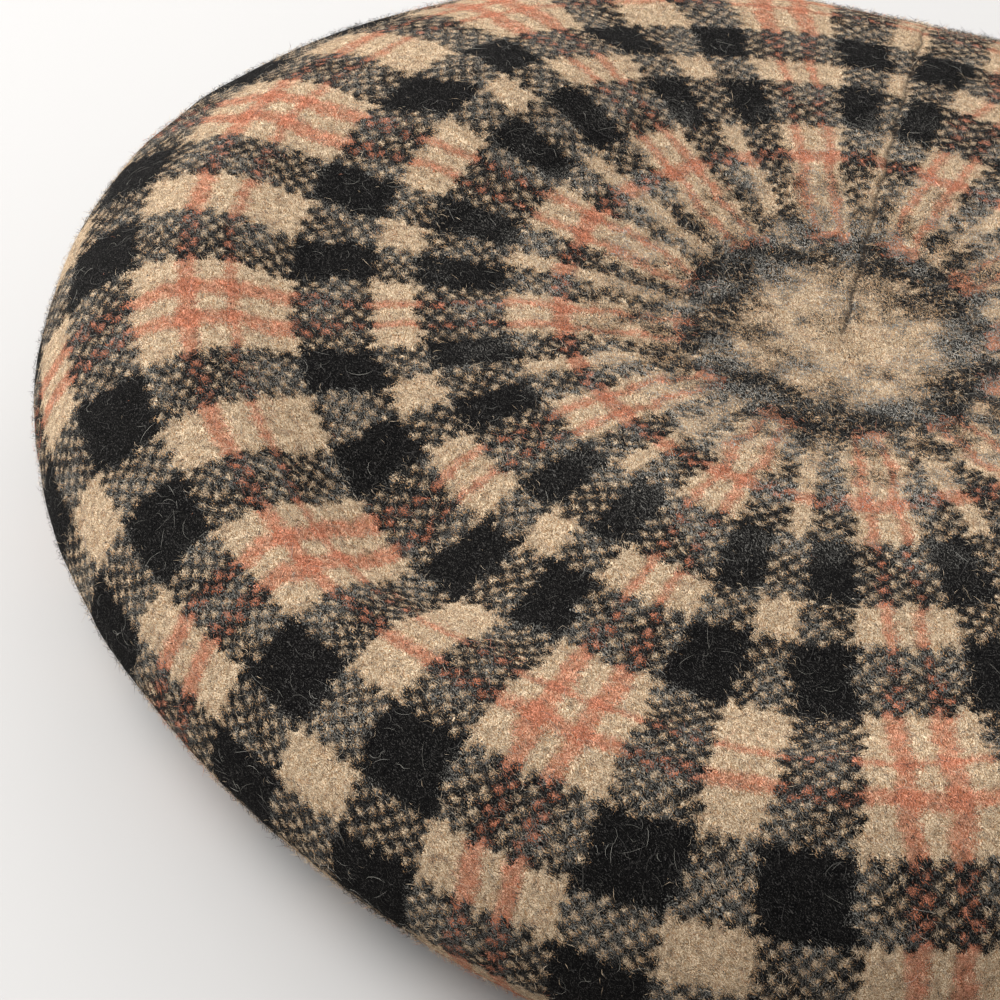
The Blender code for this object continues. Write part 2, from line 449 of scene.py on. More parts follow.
def build_skin():
    """One closed mesh, row by row and closed at both poles, with its chart on the faces' corners.

    Each row is one ring of the section. Columns crowd along the seam and bend with it.
    """
    outer_run, hem, inner = skin_rows()
    strip = np.linspace(0, SEAM_STRIP, SEAM_COLUMNS // 2 + 1)
    open_round = np.linspace(SEAM_STRIP, 2 * math.pi - SEAM_STRIP, OPEN_COLUMNS + 1)
    turns = np.concatenate([strip, open_round[1:-1], 2 * math.pi - strip[::-1]])
    columns = len(turns) - 1
    azimuth = turns[:-1] + SEAM_AZIMUTH
    outer_rows = outer_run[1:, None] + 0 * azimuth
    follows = (np.abs(turns[:-1] - math.pi) / math.pi) ** KINK_FADE
    bend = seam_kink(outer_rows) / np.maximum(radius_at(outer_rows), LEAST_RADIUS)
    kinked = azimuth + bend * follows
    nought = np.zeros(1)
    radius, height = (np.concatenate([hem[i], inner[i][:-1]])[:, None] for i in (1, 2))
    rest = form_cap(radius + 0 * azimuth, azimuth + 0 * radius, height + 0 * azimuth, 0.0)
    grid = np.concatenate([outer_places(outer_rows, kinked), rest])
    crown = outer_places(nought, nought)
    ceiling = form_cap(nought, nought, inner[2][-1:], 0.0)
    verts = np.concatenate([crown, grid.reshape(-1, 3), ceiling])
    mesh = bpy.data.meshes.new("felted_skin")
    mesh.from_pydata(verts.tolist(), [], grid_faces(len(grid), columns))

    row_runs = np.concatenate([outer_run[1:], hem[0], inner[0][:-1]])
    runs = np.concatenate([nought, row_runs, nought])
    courses = (runs[:-1] + runs[1:]) / 2 / COURSE_HEIGHT
    wales = wales_a_repeat(np.minimum(courses, OUTER_COURSES - 1.0))
    corners = chart_corners(runs, turns, wales)
    mesh.uv_layers.new(name="Stitches").data.foreach_set("uv", corners.ravel())
    inside = np.arange(len(wales)) > len(outer_run) - 1 + HEM_ROWS // 2
    near_edge = outer_run[1:] > OUTER_RUN - HEM_PLAIN
    turned_in = inner[1][:-1] < OPENING_RADIUS + HEM_DEPTH
    hem_row = np.concatenate([near_edge, np.ones(HEM_ROWS, bool), turned_in])
    hem_row &= row_runs > HEM_BEYOND * OUTER_RUN
    hem_face = np.concatenate([hem_row, [False]]) & np.concatenate([[False], hem_row])
    set_facts(mesh, {"wales": wales, "reverse": inside, "hem": hem_face}, columns)
    # Painted shade along the seam's groove: strongest on its line, gone a little off it
    away = np.concatenate([off_seam(outer_rows, kinked), np.ones(rest.shape[:2])])
    seam = np.concatenate([[0.0], np.exp(-((away / SEAM_SHADE_SPREAD) ** 2)).ravel(), [0.0]])
    mesh.attributes.new("seam", "FLOAT", "POINT").data.foreach_set("value", seam)
    mesh.validate()
    mesh.shade_smooth()
    return put("felted_cap_skin", mesh)


def linear(code):
    """A linear colour from an sRGB hex value."""
    parts = [int(code[i : i + 2], 16) / 255 for i in (0, 2, 4)]
    return (*[p / 12.92 if p <= 0.04045 else ((p + 0.055) / 1.055) ** 2.4 for p in parts], 1.0)


# The setting that holds each kind of node's mode, or the name of what it reads
MODES = {
    "Attribute": "attribute_name",
    "Group": "node_tree",
    "MapRange": "interpolation_type",
    "Mapping": "vector_type",
    "Math": "operation",
    "Mix": "data_type",
    "UVMap": "uv_map",
    "VectorMath": "operation",
}


def add_node(tree, kind, *values, **named):
    """Adds a shader node and returns its first output.

    After its kind and a space, kind gives its mode, or the name of what it reads. Values go to the
    inputs that the mode has, in their order, and named ones to the input of that name. A socket is
    linked, and anything else is set.
    """
    kind, _, mode = kind.partition(" ")
    node = tree.nodes.new("ShaderNode" + kind)
    if mode:
        setattr(node, MODES[kind], bpy.data.node_groups.get(mode, mode))
    given = list(zip([socket for socket in node.inputs if socket.enabled], values))
    given += [(node.inputs[name], value) for name, value in named.items()]
    for socket, value in given:
        if isinstance(value, bpy.types.NodeSocket):
            tree.links.new(value, socket)
        else:
            socket.default_value = value
    return next(socket for socket in node.outputs if socket.enabled)


def new_finish(name, **constants):
    """A material, its shader with these constants on its own sockets, and what adds its nodes."""
    material = bpy.data.materials.new(name)
    material.use_nodes = True
    shader = material.node_tree.nodes["Principled BSDF"]
    for socket, value in constants.items():
        shader.inputs[socket.replace("_", " ")].default_value = value
    return material, shader, partial(add_node, material.node_tree)


def held_colours(add, share, starts, colours):
    """The colour whose start the share has passed last: each is held up to the next one."""
    shown = add("ValToRGB", share)
    ramp = shown.node.color_ramp
    ramp.interpolation = "CONSTANT"
    while len(ramp.elements) < len(starts):
        ramp.elements.new(1.0)
    for element, start, colour in zip(ramp.elements, starts, colours):
        element.position = start
        element.color = colour
    return shown


# Inside the materials a yarn is half its number: oatmeal 0, coral .5 and black 1
CORAL_LEVEL, CORAL_REACH = 0.5, 0.1
NEARLY_BLACK = 0.75
CORAL_SHOWN, CORAL_UNDER = 0.92, 0.64  # how red a coral stitch is, and one with coral behind it


def yarn_along(add, share, stripes):
    """The level of the yarn of the stripe that a share of their whole length falls in."""
    yarns, lengths = zip(*stripes)
    starts = np.cumsum([0.0, *lengths[:-1]]) / sum(lengths)
    return held_colours(add, share, starts, [(yarn / 2, yarn / 2, yarn / 2, 1.0) for yarn in yarns])


def add_stitch_group():
    """A node group that gives one stitch's share of coral, of black, and whether its yarns differ.

    The column's yarn comes from the distance to the middle of the repeat, stretched so that the
    coral lines narrow less than the rest towards the middle. The row's yarn comes from the table
    of rounds. Where wale and course add up even the column's yarn shows, else the row's. Coral and
    oatmeal stitches are felted into each other, and black ones keep to themselves.
    """
    tree = bpy.data.node_groups.new("stitch_shares", "ShaderNodeTree")
    for name in ("wale", "course", "wales"):
        tree.interface.new_socket(name, in_out="INPUT", socket_type="NodeSocketFloat")
    tree.interface.new_socket("shares", in_out="OUTPUT", socket_type="NodeSocketVector")
    given = tree.nodes.new("NodeGroupInput").outputs
    add = partial(add_node, tree)
    wale = add("Math FLOOR", given["wale"])
    course = add("Math FLOOR", given["course"])
    wales = given["wales"]

    place = add("Math FLOORED_MODULO", add("Math ADD", wale, 0.5), wales)
    half = add("Math MULTIPLY", wales, 0.5)
    off = add("Math ABSOLUTE", add("Math SUBTRACT", place, half))
    inner = add("Math MULTIPLY_ADD", wales, INNER_SHARE, INNER_FIXED)
    coral = add("Math MULTIPLY_ADD", wales, CORAL_SHARE, CORAL_FIXED)
    edge = add("Math ADD", inner, coral)
    span = add("Math MAXIMUM", add("Math SUBTRACT", half, edge), LEAST_WALES)
    beyond = add("Math DIVIDE", add("Math SUBTRACT", off, edge), span)
    past = add("Math GREATER_THAN", beyond, 0.0)
    lines = add("Math MULTIPLY", add("Math GREATER_THAN", off, inner), CORAL_LEVEL)
    column = add("Mix FLOAT", past, lines, yarn_along(add, beyond, OUTER_STRIPES))
    column = add("Math MULTIPLY", column, add("Math GREATER_THAN", course, MIDDLE_COURSES - 0.5))

    courses = sum(line.courses for line in ROUNDS)
    down = add("Math DIVIDE", add("Math ADD", course, 0.5), courses)
    row = yarn_along(add, down, ROUNDS)

    turn = add("Math FLOORED_MODULO", add("Math ADD", wale, course), 2.0)
    shown = add("Mix FLOAT", turn, column, row)
    hidden = add("Mix FLOAT", turn, row, column)
    black = add("Math GREATER_THAN", shown, NEARLY_BLACK)
    light = add("Math LESS_THAN", add("Math MAXIMUM", column, row), NEARLY_BLACK)
    both = add("Math GREATER_THAN", add("Math MINIMUM", column, row), NEARLY_BLACK)
    marl = add("Math SUBTRACT", add("Math SUBTRACT", 1.0, light), both)
    red = add("Math COMPARE", shown, CORAL_LEVEL, CORAL_REACH)
    under = add("Math COMPARE", hidden, CORAL_LEVEL, CORAL_REACH)
    under = add("Math MULTIPLY", add("Math MULTIPLY", under, light), CORAL_UNDER)
    felted = add("Math MULTIPLY_ADD", red, CORAL_SHOWN, under)
    red = add("Mix FLOAT", light, red, felted)
    shares = add("CombineXYZ", red, black, marl)
    tree.links.new(shares, tree.nodes.new("NodeGroupOutput").inputs[0])


# How the knit's felted surface is drawn. A rise is where a soft step begins and ends, on the noise
# that it reads or in courses from the crown's middle. Sizes of patches are in millimetres.
PER_MM = 1000.0
HALF = (0.5, 0.5, 0.5)

# Matted fibres: real ones are 0.03 mm thick, and these streaks are 0.15 mm wide and 0.9 mm long so
# that they show. All lie near the way the cloth was brushed.
Streak = namedtuple("Streak", "tilt_deg azimuth_deg")
STREAKS = (Streak(20.0, 122.0), Streak(-25.0, 142.0), Streak(10.0, 98.0))
STREAK_MM, STREAK_LENGTH = 0.15, 6.0
STREAK_APART = 0.01  # how far apart they read the noise, for each degree
WANDER_MM, WANDER = 3.2, 0.0016
WEB_RISE, THIN_WEB_RISE, GAP_RISE = (0.59, 0.69), (0.70, 0.78), (0.42, 0.31)

# Uneven tension shifts whole stitches, most of all in the tight middle of the crown, and the
# fibres carry their colours over the edges
Drift = namedtuple("Drift", "size_mm stitches")
DRIFTS = (Drift(9.0, 1.7), Drift(1.7, 1.0))
TIGHT_RISE, TIGHT_MORE = (34.0, 8.0), 1.4
CARRIED = 1.6  # in stitches
EDGE_RISE = (0.1, 0.9)  # from one stitch's middle to the next

# Black fills the crotches of the lighter stitches, and round the middle it is felted in patches
BLOT_MM, BLOTS, CORE_BLOTS = 5.0, 2.6, 0.14
RING_RISES = ((-2.0, 7.0), (34.0, 18.0))
CORE_RISES = ((7.0, 13.0), (24.0, 16.0))
STREAKED, RING_STREAKED = 0.7, 1.2  # how far streaks move black's edge, and more in the ring
UNEVEN_MM, UNEVEN = 1.6, 0.5
MARL_DARKER, RING_MARL = 0.045, 0.8
BLACK_RISE = (-0.02, 0.42)
MOST_BLACK = 0.7  # past which coral isn't shared out any further

# Black yarn of the back peeps through between the lighter stitches, as small dark strokes
PEEP_SIDE, PEEP_LEVEL = (0.60, 0.90), (0.90, 0.50)
PEEP_MM, PEEP_RISE, PEEP_SHARE = 1.1, (0.40, 0.56), 0.80

# Mottled wool: light hairs, with painted shade as a browner tone of the yarn in the gaps between
# them, and a little coral strewn through it
MOTTLE_MM, MOTTLE, MOTTLE_LEAST = 2.6, 0.4, 0.80
TONE, WEB_TONE, MARL_TONE = 0.82, 0.31, -0.06
STREWN, STREWN_FROM = 0.7, -0.36
GAP_SHADE = (0.50, 0.40, 0.31)

# Over black, the loose hairs of the other yarn look silver, partly their own pale colour and partly
# a painted sheen where they catch the light, more of it on the crown; over plain black they are
# dark grey
PATCH_MM, PATCH_RISE = 9.0, (0.40, 0.60)
FROSTED_CROWN = (48.0, 26.0)
FROST_PATCHED, FROST_LEAST = 0.7, 0.3
FROST_WEB = 0.6
HAIRS_LEAST, CROWN_HAIRS = 0.55, 0.4
# how dark the painted shade along the seam's groove is
SEAM_SHADE = 0.80

# Relief: each stitch a plump leaning oval under the matted fibres, ribbed at the hem
RELIEF = 0.00035
PLUMP, WEB_RELIEF, GAP_RELIEF, RIB, MOTTLE_RELIEF = 0.55, 0.35, -0.45, 1.4, 0.8


def shift_by(add, noises, size):
    """A shift either way: three noises less their middle, times a size."""
    return add("VectorMath SCALE", add("VectorMath SUBTRACT", noises, HALF), size)


def off_middle(add, passed):
    """How far off a stitch's middle a place is, from stitches passed: 0 there, 1 at its edge."""
    return add("Math ABSOLUTE", add("Math MULTIPLY_ADD", add("Math FRACT", passed), 2.0, -1.0))


def matted_fibres(add, place):
    """Three noises drawn out along the brushed way, and the light hairs and gaps they give."""
    wander = add("TexNoise", place, PER_MM / WANDER_MM, Detail=1.0).node.outputs["Color"]
    bent = add("VectorMath ADD", place, shift_by(add, wander, WANDER))
    streaks = []
    for streak in STREAKS:
        shift = (STREAK_APART * streak.azimuth_deg, 0.0, 0.0)
        turn = (0.0, math.radians(streak.tilt_deg), math.radians(streak.azimuth_deg))
        turned = add("Mapping TEXTURE", bent, shift, turn, (STREAK_LENGTH, 1.0, 1.0))
        streaks.append(add("TexNoise", turned, PER_MM / STREAK_MM, Detail=0.0))
    lightest = add("Math MAXIMUM", add("Math MAXIMUM", *streaks[:2]), streaks[2])
    darkest = add("Math MINIMUM", add("Math MINIMUM", *streaks[:2]), streaks[2])
    web = add("MapRange SMOOTHSTEP", lightest, *WEB_RISE)
    thin_web = add("MapRange SMOOTHSTEP", lightest, *THIN_WEB_RISE)
    return streaks, web, thin_web, add("MapRange SMOOTHSTEP", darkest, *GAP_RISE)


def shifted_stitches(add, place, stitches, rounds, streaks):
    """Wale and course at a place, once tension and felting have shifted the stitches."""
    loose = add("MapRange SMOOTHSTEP", rounds, *TIGHT_RISE)
    loose = add("Math MULTIPLY_ADD", loose, TIGHT_MORE, 1.0)
    drifts = []
    for drift in DRIFTS:
        way = add("TexNoise", place, PER_MM / drift.size_mm, Detail=1.0).node.outputs["Color"]
        drifts.append(shift_by(add, way, drift.stitches))
    drift = add("VectorMath SCALE", add("VectorMath ADD", *drifts), loose)
    carried = shift_by(add, add("CombineXYZ", *streaks), CARRIED)
    chart = add("VectorMath ADD", add("VectorMath ADD", stitches, drift), carried)
    return add("SeparateXYZ", chart).node.outputs[:2]


def blended_shares(add, wale, course, wales):
    """Shares of coral, black and marl of the four nearest stitches, run softly into each other."""
    add_stitch_group()
    low_wale = add("Math SUBTRACT", wale, 0.5)
    low_course = add("Math SUBTRACT", course, 0.5)
    across = add("MapRange SMOOTHSTEP", add("Math FRACT", low_wale), *EDGE_RISE)
    down = add("MapRange SMOOTHSTEP", add("Math FRACT", low_course), *EDGE_RISE)
    rows = []
    for below in (0.0, 1.0):
        pair = []
        for beside in (0.0, 1.0):
            near_wale = add("Math ADD", low_wale, beside)
            near_course = add("Math ADD", low_course, below)
            pair.append(add("Group stitch_shares", near_wale, near_course, wales))
        rows.append(add("Mix VECTOR", across, *pair))
    return add("SeparateXYZ", add("Mix VECTOR", down, *rows)).node.outputs


def felted_jacquard():
    """Lightly felted wool knit: soft-edged stitches of two yarns under matted fibres, no gloss."""
    material, shader, add = new_finish(
        "felted_wool_jacquard",
        Roughness=0.95,
        Specular_IOR_Level=0.025,
        Sheen_Weight=0.02,
        Sheen_Roughness=0.5,
        Sheen_Tint=linear("F2EAE0"),
    )
    place = add("TexCoord").node.outputs["Object"]
    stitches = add("UVMap Stitches")
    wales, reverse, hem, seam = (
        add("Attribute " + name).node.outputs["Fac"] for name in ("wales", "reverse", "hem", "seam")
    )
    rounds = add("SeparateXYZ", stitches).node.outputs[1]
    streaks, web, thin_web, gaps = matted_fibres(add, place)

    # Each stitch's two legs slope down to its point, and the reverse is one wale out of step
    wale, course = shifted_stitches(add, place, stitches, rounds, streaks)
    wale = add("Math ADD", wale, reverse)
    side = off_middle(add, wale)
    legs = add("Math MULTIPLY_ADD", side, STITCH_POINT, -STITCH_POINT / 2)
    course = add("Math MAXIMUM", add("Math ADD", course, legs), 0.0)
    red, black, differ = blended_shares(add, wale, course, wales)
    plain = add("Math SUBTRACT", 1.0, hem)
    red = add("Math MULTIPLY", red, plain)
    black = add("Math MULTIPLY", black, plain)
    not_black = add("Math MAXIMUM", add("Math SUBTRACT", 1.0, black), 1.0 - MOST_BLACK)
    red = add("Math DIVIDE", red, not_black)

    # How black each place is
    ring, core = (
        add("Math MULTIPLY", *(add("MapRange SMOOTHSTEP", rounds, *rise) for rise in rises))
        for rises in (RING_RISES, CORE_RISES)
    )
    blots = add("TexNoise", place, PER_MM / BLOT_MM, Detail=3.0, Roughness=0.6)
    blots = add("Math MULTIPLY_ADD", core, CORE_BLOTS, add("Math SUBTRACT", blots, 0.5))
    black = add("Math MULTIPLY_ADD", blots, add("Math MULTIPLY", ring, BLOTS), black)
    streaky = add("Math SUBTRACT", add("Math ADD", *streaks[:2]), 1.0)
    streaked = add("Math MULTIPLY_ADD", ring, RING_STREAKED, STREAKED)
    black = add("Math MULTIPLY_ADD", streaky, streaked, black)
    uneven = add("TexNoise", place, PER_MM / UNEVEN_MM, Detail=2.0)
    black = add("Math ADD", black, add("Math MULTIPLY_ADD", uneven, UNEVEN, -UNEVEN / 2))
    black = add("Math MULTIPLY_ADD", differ, MARL_DARKER, black)
    black = add("MapRange SMOOTHSTEP", black, *BLACK_RISE)
    marl = add("Math MULTIPLY", differ, plain)
    marl = add("Math MAXIMUM", marl, add("Math MULTIPLY", ring, RING_MARL))

    # The lighter stitches
    mottle = add("TexNoise", place, PER_MM / MOTTLE_MM, Detail=3.0, Roughness=0.6)
    tone = add("Math MULTIPLY_ADD", web, WEB_TONE, TONE)
    tone = add("Math MULTIPLY", tone, add("Math MULTIPLY_ADD", mottle, MOTTLE, MOTTLE_LEAST))
    tone = add("Math MULTIPLY", tone, add("Math MULTIPLY_ADD", marl, MARL_TONE, 1.0))
    oatmeal, coral, dark = (linear(code) for code in YARN_HEX)
    strewn = add("Math MULTIPLY_ADD", uneven, STREWN, STREWN_FROM)
    red = add("Math MAXIMUM", red, add("Math MAXIMUM", strewn, 0.0))
    light = add("Mix RGBA", red, oatmeal, coral)
    light = add("VectorMath SCALE", light, tone)
    # painted shade: the gaps between the matted fibres darkened to a browner tone of the yarn
    gap_shaded = add("VectorMath MULTIPLY", light, GAP_SHADE)
    light = add("Mix RGBA", gaps, light, gap_shaded)
    between = add("MapRange SMOOTHSTEP", side, *PEEP_SIDE)
    inside = add("MapRange SMOOTHSTEP", off_middle(add, course), *PEEP_LEVEL)
    some = add("TexNoise", place, PER_MM / PEEP_MM, Detail=1.0)
    some = add("MapRange SMOOTHSTEP", some, *PEEP_RISE)
    peep = add("Math MULTIPLY", add("Math MULTIPLY", between, inside), some)
    peep = add("Math MULTIPLY", peep, PEEP_SHARE)
    light = add("Mix RGBA", peep, light, linear("28211C"))

    # The black stitches and the hairs over them, then the painted shade along the seam's groove
    # over all
    patches = add("TexNoise", place, PER_MM / PATCH_MM, Detail=1.0)
    patches = add("MapRange SMOOTHSTEP", patches, *PATCH_RISE)
    crown = add("Math MULTIPLY", add("MapRange SMOOTHSTEP", rounds, *FROSTED_CROWN), patches)
    frosted = add("Math MULTIPLY_ADD", patches, FROST_PATCHED, FROST_LEAST)
    frost = add("Math MAXIMUM", add("Math MULTIPLY", marl, frosted), crown)
    # partly painted sheen: hairs over black lightened to silver, most of all on the crown
    hair = add("Mix RGBA", frost, linear("575451"), linear("AAA69D"))
    hairs = add("Mix FLOAT", add("Math MULTIPLY", frost, FROST_WEB), thin_web, web)
    hairs = add("Math MULTIPLY", hairs, add("Math MULTIPLY_ADD", crown, CROWN_HAIRS, HAIRS_LEAST))
    dark = add("Mix RGBA", hairs, dark, hair)
    colour = add("Mix RGBA", black, light, dark)
    colour = add("Mix RGBA", add("Math MULTIPLY", seam, SEAM_SHADE), colour, linear("2D2621"))
    material.node_tree.links.new(colour, shader.inputs["Base Color"])

    plump, round_wale = (
        add("Math SINE", add("Math MULTIPLY", add("Math FRACT", part), math.pi))
        for part in (course, wale)
    )
    relief = add("Math MULTIPLY", add("Math MULTIPLY", plump, round_wale), PLUMP)
    rib = add("Math MULTIPLY", hem, round_wale)
    for part, share in zip((web, gaps, rib, mottle), (WEB_RELIEF, GAP_RELIEF, RIB, MOTTLE_RELIEF)):
        relief = add("Math MULTIPLY_ADD", part, share, relief)
    bump = add("Bump", Strength=1.0, Distance=RELIEF, Height=relief)
    material.node_tree.links.new(bump, shader.inputs["Normal"])
    return material


skin = build_skin()
skin.data.materials.append(felted_jacquard())
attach(skin, "root")
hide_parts("felted_cap")


# ----------------------------------------
# The nap: loose wool fibres that felting and brushing raise from the knit. Each is a fine bent
# needle, thicker than the real 0.03 mm so that it shows, in the colour of the stitch it leaves.

NAP_END = OUTER_RUN - 0.002  # a little short of the hem's turn
Nap = namedtuple("Nap", "name low high fibres fuzz")
NAPS = (
    Nap("nap_crown_middle", 0.0, 0.074, 21000, 0.3),
    Nap("nap_crown_ring", 0.074, 0.108, 21000, 0.35),
    Nap("nap_shoulder", 0.108, 0.137, 27000, 0.6),
    Nap("nap_rim", 0.137, 0.172, 31000, 0.75),
    Nap("nap_underside", 0.172, NAP_END, 8000, 0.5),
)
NAP_SEED = 20
FIBRE_WIDTH = 0.00005
THINNEST, THICKER = 0.6, 0.8  # shares of that width
FIBRE_SHORTEST, FIBRE_LONGEST = 0.0009, 0.0032
FEW_LONG = 1.6  # power that keeps most fibres short
FEW_UPRIGHT = 3.0  # power that keeps most of them lying
FUZZ_LENGTH = 0.0018  # of the short fibres that stand up
FUZZ_LEAST = 0.4  # of that length, and of standing upright
ROOT_DEPTH = 0.0002
LOWEST = 0.00005  # nothing is nearer to the floor
BRUSHED = math.radians(130.0)  # the way most fibres lie, as an azimuth
BRUSHED_SPREAD, BEND_SPREAD = 0.6, 0.7
# The sine of a fibre's slope to the cloth in each half, when it lies and what standing up adds
FIRST_LIES, FIRST_STANDS = 0.16, 0.55
LAST_LIES, LAST_STANDS, LAST_SPREAD = -0.05, 0.65, 0.1
STRAY_STITCHES = 0.45  # how far a fibre's colour wanders from the stitch under its root
FAR_STRAYS, FAR_STITCHES = 0.03, 6.0  # the few that felting has carried in from further off
SEAM_BARE = 0.0004  # no fibre is rooted this near the seam
NEAR = 0.0006  # the step by which the cloth's own directions are taken
SPREAD_READINGS = 2000
TONES = 8
NAP_PATCH = (0.3 / TONES, 0.1 / TONES)  # on its OFBake map
PALE_POWER = 4.0  # the higher, the fewer of the tones are pale
PALE, PALE_OVER_BLACK = 0.34, -0.26  # share of pale colour in the palest, partly pale wool and partly a painted glint, and its change in black
SHADE, SHADE_SPAN = 0.47, 0.40  # of the darkest tone, and what the palest adds
RING_SIDES = 3


def unit(ways):
    """Ways brought to length 1."""
    return ways / np.linalg.norm(ways, axis=-1, keepdims=True)


def cloth_ways(place, run, azimuth, radius):
    """Unit ways along the cloth to the hem and out of it, by a small step along and around."""
    along = outer_places(run + NEAR, azimuth) - place
    around = outer_places(run, azimuth + NEAR / radius) - place
    return unit(along), unit(np.cross(along, around))


def fibre_points(part, draw):
    """Root, bend and tip of each fibre, and its root's turn and run.

    Roots are spread evenly over the outer face between two runs. A fibre leaves its root nearly
    along the cloth, bends at its middle, and ends a little above the surface. Some stand up.
    """
    count = part.fibres
    fine = np.linspace(part.low, part.high, SPREAD_READINGS)
    area = np.cumsum(radius_at(fine))
    run = np.interp(draw.random(count) * area[-1], area, fine)
    turn = draw.random(count) * 2 * math.pi
    radius = np.maximum(radius_at(run), NEAR)
    on_seam = off_seam(run, turn + SEAM_AZIMUTH) < SEAM_BARE
    turn += np.where(on_seam, 2 * SEAM_BARE / radius, 0.0)
    azimuth = turn + SEAM_AZIMUTH
    root = outer_places(run, azimuth)
    along, normal = cloth_ways(root, run, azimuth, radius)
    around = np.cross(normal, along)
    length = between(FIBRE_SHORTEST, FIBRE_LONGEST, draw.random(count) ** FEW_LONG)
    upright = draw.random(count) ** FEW_UPRIGHT
    fuzz = draw.random(count) < part.fuzz
    length = np.where(fuzz, FUZZ_LENGTH * between(FUZZ_LEAST, 1, draw.random(count)), length)
    upright = np.where(fuzz, between(FUZZ_LEAST, 1, draw.random(count)), upright)
    flip = math.pi * (draw.random(count) < 0.5)
    heading = BRUSHED - azimuth + flip + draw.normal(size=count) * BRUSHED_SPREAD
    bend = heading + draw.normal(size=count) * BEND_SPREAD

    def half_way(angle, rise):
        """Half a fibre's length, turned by the angle in the cloth; rise is its slope's sine."""
        flat = np.cos(angle)[:, None] * along + np.sin(angle)[:, None] * around
        rise = rise[:, None]
        return (flat * np.sqrt(1 - rise**2) + normal * rise) * (length / 2)[:, None]

    middle = root + half_way(heading, FIRST_LIES + FIRST_STANDS * upright)
    last = LAST_SPREAD * draw.normal(size=count).clip(-1, 1)
    tip = middle + half_way(bend, LAST_LIES + LAST_STANDS * upright + last)
    return root - normal * ROOT_DEPTH, middle, tip, turn, run


def ring_ways(length, draw):
    """Unit ways from a fibre's middle line to the three corners of a ring round it."""
    side = unit(np.cross(length, draw.normal(size=length.shape)))
    other = np.cross(unit(length), side)
    corners = np.arange(RING_SIDES) * 2 * math.pi / RING_SIDES
    return [math.cos(t) * side + math.sin(t) * other for t in corners]


def fibre_mesh(name, verts, facts, cells, patch):
    """One object of many closed spindles: each a root, triangular rings, and a tip.

    Facts are numbers that a fibre's faces carry. Its faces share one small triangle, whose half
    width and half height are patch, at its own cell of the OFBake map.
    """
    count, corners = verts.shape[:2]
    last = corners - 1
    sides = [(k, (k + 1) % RING_SIDES) for k in range(RING_SIDES)]
    spindle = [(0, 1 + after, 1 + k) for k, after in sides]
    for low in range(1, last - RING_SIDES, RING_SIDES):
        high = low + RING_SIDES
        for k, after in sides:
            spindle += [(low + k, low + after, high + after), (low + k, high + after, high + k)]
    spindle += [(last, last - RING_SIDES + k, last - RING_SIDES + after) for k, after in sides]
    faces = np.arange(count)[:, None, None] * corners + np.array(spindle)
    mesh = bpy.data.meshes.new(name)
    mesh.vertices.add(count * corners)
    mesh.vertices.foreach_set("co", verts.ravel())
    mesh.loops.add(faces.size)
    mesh.loops.foreach_set("vertex_index", faces.ravel().astype(np.int32))
    mesh.polygons.add(faces.size // 3)
    mesh.polygons.foreach_set("loop_start", np.arange(0, faces.size, 3, dtype=np.int32))
    set_facts(mesh, facts, len(spindle))
    wide, high = patch
    corner = cells[:, None, None, :] + np.array([(-wide, -high), (wide, -high), (0.0, high)])
    corner = corner.repeat(len(spindle), 1)
    mesh.uv_layers.new(name="OFBake").data.foreach_set("uv", corner.ravel())
    mesh.update(calc_edges=True)
    mesh.validate()
    return put(name, mesh)


def build_nap(part, seed):
    """Fibres of one ring of the cap, one spindle from root over bend to tip, in their yarn."""
    draw = np.random.default_rng(seed)
    count = part.fibres
    root, middle, tip, turn, run = fibre_points(part, draw)
    ways = ring_ways(tip - root, draw)
    half = FIBRE_WIDTH / 2 * (THINNEST + THICKER * draw.random(count))[:, None]
    verts = np.stack([root, *[middle + half * way for way in ways], tip], 1)
    verts[..., 2] += np.maximum(LOWEST - verts[..., 2].min(1), 0)[:, None]

    repeats, course = chart_place(turn, run)
    wales = wales_a_repeat(run / COURSE_HEIGHT)
    far = np.where(draw.random(count) < FAR_STRAYS, FAR_STITCHES, STRAY_STITCHES)[:, None]
    stray = draw.normal(size=(count, 2)) * far
    yarn = yarn_at(repeats * wales + stray[:, 0], np.maximum(course + stray[:, 1], 0), wales)
    tone = draw.integers(0, TONES, count)
    cells = np.stack([(tone + 0.5) / TONES, (yarn + 0.5) / len(YARN_HEX)], 1)
    facts = {"yarn": yarn / 2, "tone": tone / (TONES - 1)}
    return fibre_mesh(part.name, verts, facts, cells, NAP_PATCH)


def loose_wool():
    """Loose wool fibres: the yarn's own colour, some darker, and some paler, partly with a painted
    glint; quite matt.
    """
    material, shader, add = new_finish("loose_wool_fibres", Roughness=0.7, Specular_IOR_Level=0.07)
    yarn, tone = (add("Attribute " + name).node.outputs["Fac"] for name in ("yarn", "tone"))
    colours = [linear(code) for code in YARN_HEX]
    colour = held_colours(add, yarn, (0.0, CORAL_LEVEL / 2, NEARLY_BLACK), colours)
    palest = add("Math MULTIPLY_ADD", yarn, PALE_OVER_BLACK, PALE)
    # partly painted glint: the palest fibres mixed towards a pale grey
    pale = add("Math MULTIPLY", add("Math POWER", tone, PALE_POWER), palest)
    colour = add("Mix RGBA", pale, colour, linear("C9C2B8"))
    colour = add("VectorMath SCALE", colour, add("Math MULTIPLY_ADD", tone, SHADE_SPAN, SHADE))
    material.node_tree.links.new(colour, shader.inputs["Base Color"])
    return material


wool = loose_wool()
for number, part in enumerate(NAPS):
    nap = build_nap(part, NAP_SEED + number)
    nap.data.materials.append(wool)
    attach(nap, "root")
    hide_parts("felted_cap")


# ----------------------------------------
# The long hairs: single silver guard hairs of the fleece, a few millimetres long, which lie on
# the cloth in gentle curves and show most over the black. Each is one thin closed spindle.

